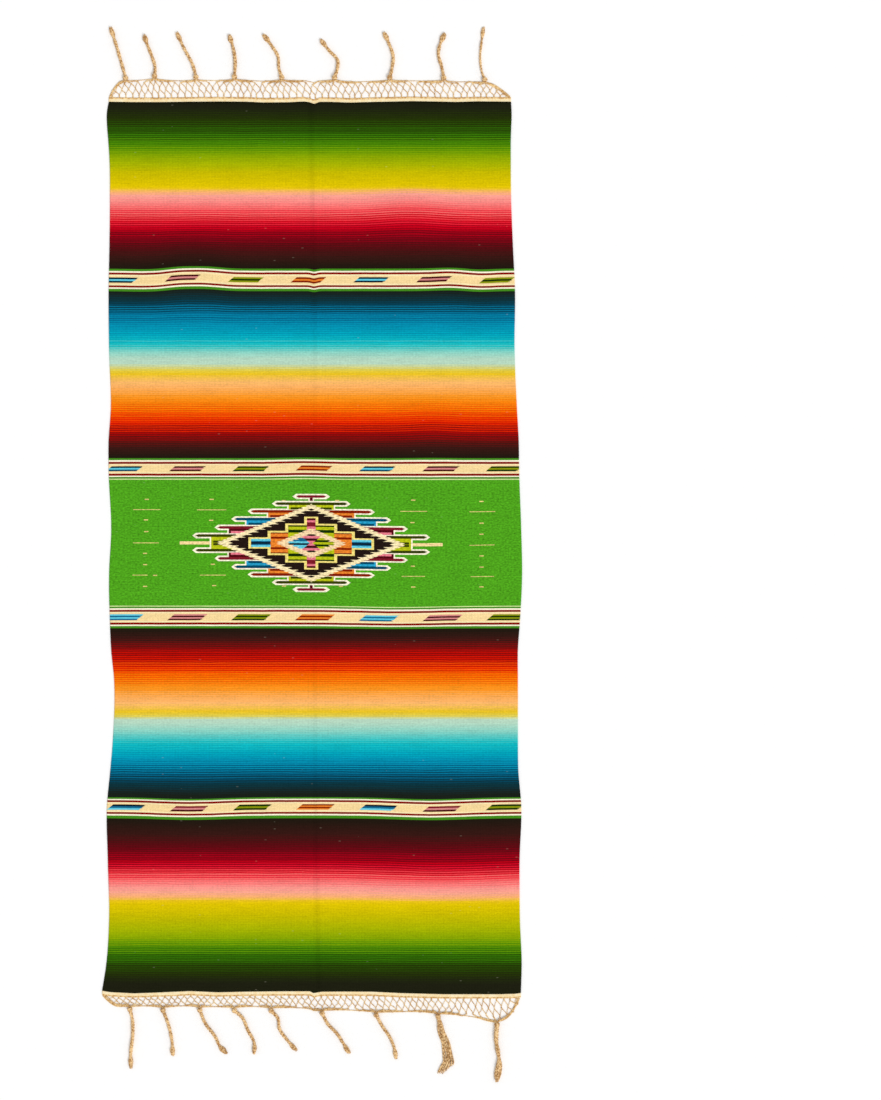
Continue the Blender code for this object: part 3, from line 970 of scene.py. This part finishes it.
def strand_tree():
    """Round strands along the paths, and a knot on each loose point."""
    g = strand_graph("strands_and_knots", {"Strand Radius": "Float", "Knot Radius": "Float"})
    paths = g.given["Geometry"]
    strands = tube(g, g.out("GeometryNodeMeshToCurve", paths), kept(g, "width") * g.given["Strand Radius"])
    size = kept(g, "knot")
    bead = {"Segments": 8, "Rings": 6, "Radius": g.given["Knot Radius"]}
    links = {
        "Points": paths,
        "Selection": size > 0.01,
        "Instance": g.out("GeometryNodeMeshUVSphere", inputs=bead),
        "Scale": g.out("ShaderNodeCombineXYZ", size, size, size * 0.82),
    }
    return finish_strands(g, strands, g.out("GeometryNodeInstanceOnPoints", inputs=links))


def cord_tree():
    """Plies that twist round each path."""
    inputs = {"Plies": "Int", "Ply Radius": "Float", "Orbit": "Float", "Twist Length": "Float"}
    g = strand_graph("twisted_cord", inputs)
    links = {"Geometry": g.out("GeometryNodeMeshToCurve", g.given["Geometry"]), "Amount": g.given["Plies"]}
    copies = g.node("GeometryNodeDuplicateElements", inputs=links, domain="SPLINE")
    travelled = g.value(g.node("GeometryNodeSplineParameter"), "Length") / g.given["Twist Length"]
    angle = (g.value(copies, "Duplicate Index") / g.given["Plies"] + travelled) * TURN
    ahead = g.out("GeometryNodeInputTangent")
    side = g.vector("NORMALIZE", g.vector("CROSS_PRODUCT", ahead, (0, 0, 1)))
    top = g.vector("CROSS_PRODUCT", side, ahead)
    width = kept(g, "width")
    orbit = width * g.given["Orbit"]
    sideways = g.scaled(side, angle.step("COSINE") * orbit)
    offset = g.vector("ADD", sideways, g.scaled(top, angle.sine() * orbit))
    twisted = g.out("GeometryNodeSetPosition", inputs={"Geometry": g.value(copies), "Offset": offset})
    return finish_strands(g, tube(g, twisted, width * g.given["Ply Radius"]))


STRANDS = strand_tree()
CORDS = cord_tree()


def path_object(name, paths, knots):
    """Bare edges along the paths. A path is a list of (x, y, z, width), and a knot is (x, y, z, size)."""
    points, edges = [], []
    for path in paths:
        edges += [(i, i + 1) for i in range(len(points), len(points) + len(path) - 1)]
        points += path
    widths = [float(point[3]) for point in points] + [0.0] * len(knots)
    sizes = [0.0] * len(points) + [knot[3] for knot in knots]
    mesh = bpy.data.meshes.new(name)
    mesh.from_pydata([[part * MM for part in point[:3]] for point in [*points, *knots]], edges, [])
    for label, values in (("width", widths), ("knot", sizes)):
        mesh.attributes.new(label, "FLOAT", "POINT").data.foreach_set("value", values)
    return add_object(name, mesh)


def grow(name, tree, values, paths, knots=()):
    """Runs a tree on paths and knots, and leaves the result as a plain mesh."""
    piece = path_object(name, paths, knots)
    modifier = piece.modifiers.new(tree.name, "NODES")
    modifier.node_group = tree
    for item in tree.interface.items_tree:
        if item.in_out == "INPUT" and item.name in values:
            modifier[item.identifier] = values[item.name]
    depsgraph = bpy.context.evaluated_depsgraph_get()
    grown = bpy.data.meshes.new_from_object(piece.evaluated_get(depsgraph))
    piece.modifiers.remove(modifier)
    bare = piece.data
    piece.data = grown
    bpy.data.meshes.remove(bare)
    return piece


def strand_values(radius, sides=5, knot=2.2, material=CORD_COTTON):
    """What the strand tree needs for strands of this radius."""
    return {"Strand Radius": radius * MM, "Sides": sides, "Knot Radius": knot * MM, "Material": material}


# %% [markdown]
# ## The knotted nets
#
# Beyond each heading the warp ends are knotted in threes and fours into a fishnet. Every knot passes one
# strand to its left and one to its right, so the next row of knots stands halfway between. After the third
# row the strands turn along the outer line and gather at the nearest tassel, where they lie side by side and
# thicken the edge. No two meshes of a hand-knotted net are alike, so the knots are moved a little, with a
# fixed seed.

# %% Tables of the nets
# across, reach beyond the heading
TOP_NET = [
    (-484, 3), (-475, 20), (-462, 36), (-440, 41), (-290, 42), (-115, 43), (50, 42), (190, 41), (320, 40),
    (400, 37), (437, 29), (458, 15), (473, 3),
]
BOTTOM_NET = [
    (-500, 3), (-488, 12), (-474, 21), (-440, 22), (-350, 27), (-186, 28), (-98, 30), (24, 35), (153, 39),
    (301, 37), (390, 48), (442, 56), (475, 39), (496, 4),
]
NETS = {1: TOP_NET, -1: BOTTOM_NET}
# knot across, cord width against the usual, places along the cord
TOP_TASSELS = [
    (-445, 1.0, [(-451, 1159), (-460, 1190), (-468, 1217), (-482, 1260)]),
    (-376, 1.0, [(-375, 1164), (-382, 1188), (-396, 1224), (-402, 1242)]),
    (-277, 1.0, [(-284, 1166), (-306, 1209), (-324, 1248)]),
    (-185, 1.0, [(-184, 1185), (-189, 1212), (-198, 1242)]),
    (-72, 1.0, [(-79, 1160), (-81, 1188), (-98, 1217), (-117, 1243)]),
    (54, 1.0, [(61, 1162), (62, 1177), (41, 1203), (19, 1231)]),
    (186, 1.0, [(191, 1160), (194, 1188), (182, 1224), (171, 1248)]),
    (315, 1.0, [(310, 1164), (302, 1195), (308, 1224), (318, 1246)]),
    (413, 0.7, [(406, 1152), (402, 1181), (406, 1231), (410, 1261.5)]),
]
BOTTOM_TASSELS = [
    (-435, 1.0, [(-429, -1112), (-428, -1145), (-433, -1195), (-433, -1229)]),
    (-356, 1.0, [(-344, -1121), (-335, -1159), (-332, -1200)]),
    (-268, 1.0, [(-256, -1119), (-229, -1157), (-220, -1177), (-203, -1194)]),
    (-186, 1.0, [(-166, -1108), (-153, -1138), (-138, -1168), (-139, -1195)]),
    (-98, 1.0, [(-81, -1110), (-78, -1133), (-60, -1160), (-36, -1187)]),
    (24, 1.0, [(38, -1123), (60, -1146), (76, -1171), (91, -1194)]),
    (153, 1.0, [(167, -1126), (188, -1158), (196, -1178), (201, -1207)]),
    (442, 1.3, [(440, -1157), (447, -1212), (441, -1261)]),
]
LOOSE_KNOT = 301
KNOT_RADIUS = 6.5
KNOT_HEIGHT = 11.0
KNOT_SEAT = 0.1
NET_WALL = 1.7
FLOOR_GAP = 0.3

# %% Nets
NET_PITCH = 15.6
NET_STRAND = 0.8
NET_KNOT = 1.7
# How high the middle of a strand lies
STRAND_LIE = 1.1
# The share of the net's reach at which each row of knots lies
KNOT_ROWS = [0.09, 0.44, 0.80]
KNOT_STRAY = 1.9


def net_inner(side, x):
    """The net's inner line, just past the heading."""
    return woven_end(side, x) + side * (2 * SEAM_GAP + HEADING_DEPTH)


def net_reach(side, x):
    """How far the net reaches beyond its inner line."""
    return float(smooth_between(*columns_of(NETS[side]), x))


def net_outer(side, x):
    """The net's outer line, where the tassels hang."""
    return net_inner(side, x) + side * net_reach(side, x)


def tassel_knot(side, x):
    """Where a tassel's knot lies, on the net's outer line."""
    slope = (net_outer(side, x + KNOT_RADIUS) - net_outer(side, x - KNOT_RADIUS)) / (2 * KNOT_RADIUS)
    half = KNOT_HEIGHT / 2
    drop = (FLOOR_GAP + half - NET_WALL) / (half + KNOT_SEAT)
    away = (KNOT_RADIUS + KNOT_SEAT) * math.sqrt(1 - drop**2) * math.hypot(1, slope)
    return np.array([x, net_outer(side, x) + side * away, FLOOR_GAP + half])


def s_curve(start, finish, bow, height, width):
    """A strand that leaves one knot and enters the next straight along the net."""
    path = []
    for t in np.linspace(0, 1, 6):
        ease = 0.5 * t + 0.5 * t * t * (3 - 2 * t)
        hump = math.sin(math.pi * t)
        across = start[0] + (finish[0] - start[0]) * ease + bow * hump
        path.append((across, start[1] + (finish[1] - start[1]) * t, height + 0.5 * hump, width))
    return path


def gathered_path(side, start, knot, order):
    """A strand from the last row of knots, along the outer line, to its tassel's knot."""
    towards = 1 if knot[0] > start[0] else -1
    distance = abs(knot[0] - start[0])
    turn_in = min(9.0, distance * 0.6)
    path = [(*start, STRAND_LIE, 1)]
    for x in np.linspace(start[0] + towards * turn_in, knot[0], max(3, round(distance / 7))):
        share = abs(x - start[0]) / max(distance, 1)
        sag = 2.2 * math.sin(math.pi * share) + 1.7 * (order % 3)
        y = net_outer(side, x) - side * (1.2 + sag * (1 - share**4))
        lift = share**3
        path.append((x, y, STRAND_LIE + 1.5 * (order // 3 % 3) * (0.5 + 0.5 * lift) + 3 * lift, 1))
    return path + [(*knot, 1)]


def knot_places(side):
    """The three rows of knots, each knot a little astray."""
    first, last = NETS[side][0][0], NETS[side][-1][0]
    count = round((last - first) / NET_PITCH)
    pitch = (last - first) / count
    levels = []
    for level, share in enumerate(KNOT_ROWS):
        places = []
        for i in range(count + level % 2):
            x = first + pitch * (i + 0.5 - 0.5 * (level % 2))
            x = min(max(x, first + 1), last - 1)
            stray = rng.uniform(-KNOT_STRAY, KNOT_STRAY, 2)
            stray[0] -= side * level * (2.8 + 1.8 * math.sin(x / 47 + 2 * side))
            reach = net_reach(side, x)
            stray = stray * min(1, reach / 30) ** 2
            places.append((x + stray[0], net_inner(side, x) + side * (share * reach + stray[1])))
        levels.append(places)
    return levels


def edge_paths(side, knots):
    """The strands along the outer line, from knot to knot and from the two corners."""
    paths = []
    for left, right in zip(knots, knots[1:]):
        line = [(*left, 1)]
        for x in np.linspace(left[0] + 6, right[0] - 6, 12):
            sag = 3 * math.sin(math.pi * (x - left[0]) / (right[0] - left[0]))
            line.append((x, net_outer(side, x) - side * (0.6 + sag), 1.2, 1))
        paths.append(line + [(*right, 1)])
    for corner, knot in ((NETS[side][0][0], knots[0]), (NETS[side][-1][0], knots[-1])):
        for lane in range(3):
            shift = 1.2 * lane if knot[0] > corner else -1.2 * lane
            line = [(corner + shift, net_inner(side, corner), STRAND_LIE, 1.15)]
            for x in np.linspace(corner, knot[0], 14)[1:-1]:
                y = net_outer(side, x) - side * (0.8 + 1.1 * lane)
                z = 1.2 + 1.2 * (lane % 2) + 3 * ((x - corner) / (knot[0] - corner)) ** 4
                line.append((x + shift, y, z, 1.15))
            paths.append(line + [(*knot, 1)])
    return paths


def make_net(name, side, knots):
    """The net at one end, gathered to the given tassel knots."""
    levels = knot_places(side)
    beads = [(x, y, 2.0, rng.uniform(0.85, 1.15)) for places in levels for x, y in places]
    paths = []
    for x, y in levels[0]:
        inner = net_inner(side, x) - side * 0.6
        for shift in (-1.1, 1.1):
            halfway = (x + shift / 2, (inner + y) / 2, 1.3, 0.9)
            paths.append([(x + shift, inner, STRAND_LIE, 0.9), halfway, (x, y, 1.4, 0.9)])
    for level, (upper, lower) in enumerate(zip(levels, levels[1:])):
        for i, start in enumerate(upper):
            for turn in (0, 1):
                j = i + turn - level % 2
                if 0 <= j < len(lower):
                    bow, width = (1.6, 1.15) if turn == (side < 0) else (-1.0, 0.75)
                    bow += rng.uniform(-1.1, 1.1)
                    paths.append(s_curve(start, lower[j], bow, STRAND_LIE + 0.5 * turn, width))
    centres = np.array([knot[0] for knot in knots])
    orders = [0] * len(knots)
    for x, y in sorted(levels[2], key=lambda place: -min(abs(centres - place[0]))):
        nearest = int(np.argmin(abs(centres - x)))
        for shift in (-0.8, 0.8):
            orders[nearest] += 1
            paths.append(gathered_path(side, (x + shift, y), knots[nearest], orders[nearest]))
    values = strand_values(NET_STRAND, 6, NET_KNOT, NET_COTTON)
    return grow(name, STRANDS, values, paths + edge_paths(side, knots), beads)


# %% [markdown]
# ## The tassels
#
# Each tassel starts at a knot that is wrapped round the gathered strands. Its cord is three plies that twist
# round each other, and near the tip the plies open into a small brush of yarns. The second tree twists the
# plies round a path, and the first one makes the yarns and the wraps of the knot. The results are joined, so
# that a tassel is one piece that stands for one solid.

# %% Tassels
CORD_WIDTH = 8.2
ROUTE_STATIONS = 90
TUFT_YARNS = 36
YARN_RADIUS = 0.85
WRAP_TURNS = 2.6
CORD_VALUES = {
    "Plies": 3,
    "Ply Radius": CORD_WIDTH * 0.235 * MM,
    "Orbit": CORD_WIDTH * 0.265 * MM,
    "Twist Length": 21.0 * MM,
    "Sides": 8,
    "Material": CORD_COTTON,
}


def smooth_route(points):
    """Evenly spaced places, as x and y, on a smooth curve through the points."""
    points = np.array(points, float)
    reach = np.concatenate([[0], np.cumsum(np.hypot(*np.diff(points, axis=0).T))])
    at = np.linspace(0, reach[-1], ROUTE_STATIONS)
    return np.stack([smooth_between(reach, column, at) for column in points.T], -1)


def side_of(route):
    """The direction to the right of a route at each of its places."""
    ahead = np.gradient(route, axis=0)
    ahead /= np.linalg.norm(ahead, axis=1)[:, None]
    return np.stack([ahead[:, 1], -ahead[:, 0]], -1)


def tuft_start(width):
    """How far along a cord its open tip starts. The thick cord at the corner has come open further."""
    return 0.60 if width > 1.1 else 0.78


def cord_path(route, width):
    """The middle line of a twisted cord, with its width against the usual."""
    path = []
    start = tuft_start(width)
    for i, (px, py) in enumerate(route):
        t = i / (len(route) - 1)
        if t > 0.95:
            break
        opened = max(0.0, t - start) / (1 - start)
        neck = math.exp(-(((t - start) / 0.05) ** 2))
        swell = 1 + 0.1 * math.sin(9 * t + px) - 0.1 * math.sin(math.pi * opened) - 0.18 * neck
        settled = FLOOR_GAP + CORD_WIDTH * width * swell / 2
        lift = max(0.0, 1 - t / 0.08) * (KNOT_HEIGHT / 2 - CORD_WIDTH * width / 2)
        path.append((px, py, settled + lift, width * swell))
    return path


def tuft_paths(route, width):
    """The yarns of a cord's open tip."""
    sides = side_of(route)
    last = len(route) - 1
    start = tuft_start(width)
    paths = []
    for _ in range(TUFT_YARNS):
        lane = rng.uniform(-1, 1)
        level = rng.uniform(0, 1)
        length = rng.uniform(0.93, 1.0)
        curl = rng.uniform(-1.4, 1.4)
        path = []
        for t in np.linspace(start - 0.02, length, 9):
            opened = min(1, max(0, (t - start) / 0.1))
            closing = 1 - 0.45 * max(0, (t - 0.86) / 0.14)
            place = min(last, round(t * last))
            offset = lane * (2.4 + 3.3 * opened) * closing * width + curl * opened * math.sin(9 * t)
            top = (5.2 + 3.4 * opened * closing) * width
            z = 1 + (top - 1) * level * math.sqrt(max(0.05, 1 - lane**2))
            path.append((*(route[place] + sides[place] * offset), z, 1.0 if t < 0.9 else 0.8))
        paths.append(path)
    return paths


def wrap(name, knot, ahead):
    """The turns of strand round a tassel's knot, and its round core. ahead is where the cord goes."""
    side = np.array([ahead[1], -ahead[0], 0])
    ahead = np.array([*ahead, 0])
    turn = []
    for t in np.linspace(0, 1, 40):
        angle = TURN * WRAP_TURNS * t
        forward = (t - 0.5) * 6.4 + 0.9 * math.sin(angle)
        place = knot + ahead * forward + side * 4.6 * math.cos(angle) + [0, 0, 3.5 * math.sin(angle)]
        turn.append((*place, 2.3 if 0.04 < t < 0.96 else 1.2))
    return grow(name + "_wraps", STRANDS, strand_values(YARN_RADIUS, 7), [turn], [(*knot, 2.3)])


def joined(name, parts):
    """One piece from several, in the order given."""
    mesh = bmesh.new()
    for part in parts:
        mesh.from_mesh(part.data)
        bpy.data.objects.remove(part, do_unlink=True)
    whole = bpy.data.meshes.new(name)
    mesh.to_mesh(whole)
    mesh.free()
    whole.materials.append(CORD_COTTON)
    return add_object(name, whole)


def make_tassel(name, knot, places, width):
    """A knot, a twisted cord and its open tip."""
    route = smooth_route([knot[:2]] + places)
    cord = grow(name + "_cord", CORDS, CORD_VALUES, [cord_path(route, width)])
    yarns = grow(name + "_yarns", STRANDS, strand_values(YARN_RADIUS), tuft_paths(route, width))
    ahead = route[4] - route[0]
    return joined(name, [cord, yarns, wrap(name, knot, ahead / np.linalg.norm(ahead))])


# %% [markdown]
# ### The tassel that came untwisted
#
# At the bottom end one tassel has lost its twist. Its yarns fall in wavy locks that remember the cord, and
# their ends sweep to the left. It is many thin paths, each with its own place in one of the locks.

# %% Loose tassel
LOOSE_YARNS = 84
LOOSE_LOCKS = 7
LOOSE_YARN_RADIUS = 0.8
# How far along the tassel, and the middle line and half width of the fan there
LOOSE_FAN = [
    (0.0, 301, -1102, 3.0), (0.24, 308, -1132, 8.0), (0.38, 314, -1152, 10.0), (0.52, 320, -1172, 10.5),
    (0.66, 325, -1191, 12.0), (0.80, 326, -1211, 14.0), (0.89, 320, -1223, 16.0), (1.0, 311, -1240, 12.0),
]


def make_loose_tassel(name, knot):
    """A wrapped knot with a fan of wavy yarns."""
    shares, middles, alongs, halves = columns_of(LOOSE_FAN)
    paths = []
    for _ in range(LOOSE_YARNS):
        lock = rng.integers(LOOSE_LOCKS)
        lane = (2 * lock + 1) / LOOSE_LOCKS - 1 + rng.uniform(-0.1, 0.1)
        level = rng.uniform(0, 1)
        phase = lock + rng.uniform(-0.5, 0.5)
        length = rng.uniform(0.92, 1.0) - 0.14 * max(0, lane)
        path = []
        for t in np.linspace(0, length, 18):
            px = np.interp(t, shares, middles) + lane * np.interp(t, shares, halves)
            px += 1.3 * math.sin(phase + 17 * t) * min(1, 4 * t) + (knot[0] - middles[0]) * (1 - t)
            py = knot[1] + np.interp(t, shares, alongs) - alongs[0]
            top = 1.2 + (6.5 - 3.5 * t) * math.sqrt(max(0.05, 1 - lane**2))
            path.append((px, py, 1 + top * level, 1 - 0.25 * t))
        paths.append(path)
    yarns = grow(name + "_yarns", STRANDS, strand_values(LOOSE_YARN_RADIUS), paths)
    return joined(name, [yarns, wrap(name, knot, (0.2, -0.98))])


def place_fringe(piece, node):
    """Places a piece in place of its solid."""
    place_piece(piece, node)


def make_end(name, side, tassels, loose=()):
    """Heading, tassels and net of one end."""
    place_fringe(make_heading(f"ridged_heading_{name}", side), f"heading_{name}")
    knots = [tassel_knot(side, x) for x, _, _ in tassels]
    for number, (knot, (_, width, places)) in enumerate(zip(knots, tassels), 1):
        tassel = make_tassel(f"twisted_tassel_{name}_{number}", knot, places, width)
        place_fringe(tassel, f"tassel_{name}_{number}")
    for x in loose:
        knots.append(tassel_knot(side, x))
        place_fringe(make_loose_tassel(f"open_tassel_{name}", knots[-1]), f"tassel_{name}_loose")
    knots.sort(key=lambda knot: knot[0])
    place_fringe(make_net(f"knotted_net_{name}", side, knots), f"net_{name}")


make_end("top", 1, TOP_TASSELS)
make_end("bottom", -1, BOTTOM_TASSELS, loose=[LOOSE_KNOT])

# %% [markdown]
# ## The surface
#
# The blanket lies on a plain pale surface. It is a little lower than the cloth's underside, so that the two
# never share a face.

# %% Surface
SURFACE_SIZE = 16
SURFACE_DROP = 0.0006
PAPER_GREYS = (0.955, 0.975)

bpy.ops.mesh.primitive_plane_add(size=SURFACE_SIZE, location=(0, 0, -SURFACE_DROP))
surface = bpy.context.object
surface.name = "floor"
paper, paper_graph, paper_shader = new_material("pale_paper", 0.95)
grain = paper_graph.noise(paper_graph.value(paper_graph.node("ShaderNodeTexCoord"), "Object"), 90, 3)
greys = [(place, (grey, grey, grey, 1)) for place, grey in zip((0.3, 0.7), PAPER_GREYS)]
paper_graph.feed(paper_shader["Base Color"], paper_graph.ramp(grain, greys))
surface.data.materials.append(paper)
